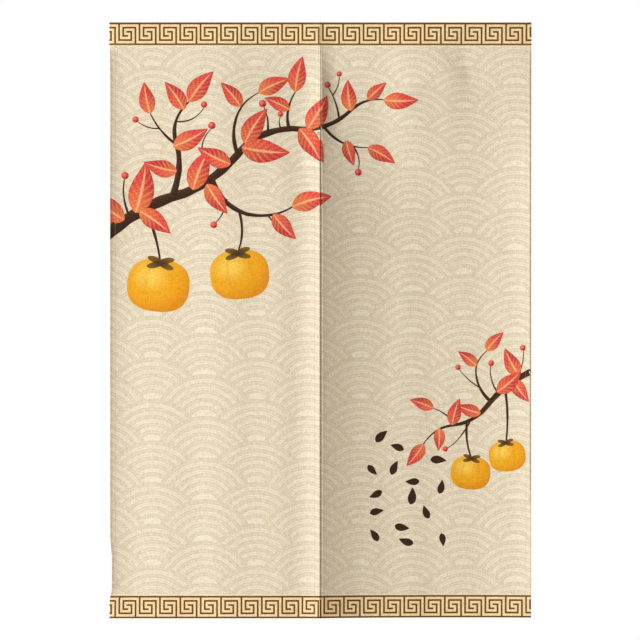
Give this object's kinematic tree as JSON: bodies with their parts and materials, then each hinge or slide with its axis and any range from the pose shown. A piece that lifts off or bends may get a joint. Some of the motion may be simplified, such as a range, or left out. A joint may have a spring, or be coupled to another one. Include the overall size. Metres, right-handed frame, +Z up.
{
  "type": "split door curtain",
  "caption": "Hanging doorway curtain of two cloth panels, lapped and sewn at the top and split below, with hems all round and soft vertical folds.",
  "frame": {"origin": "middle of the curtain's top edge, in the plane of the cloth there", "axes": "+Z up along the slit, +X to the right of a viewer in front, +Y from the printed front to the back"},
  "size_m": [0.8506, 0.0432, 1.2001],
  "materials": {
    "left_cloth": "matt printed plain weave, cream with pale beige waves and brown and gold borders",
    "right_cloth": "matt printed plain weave, cream with pale beige waves and brown and gold borders"
  },
  "bodies": {
    "root": {"left_panel": "left_cloth", "right_panel": "right_cloth"}
  },
  "joints": []
}
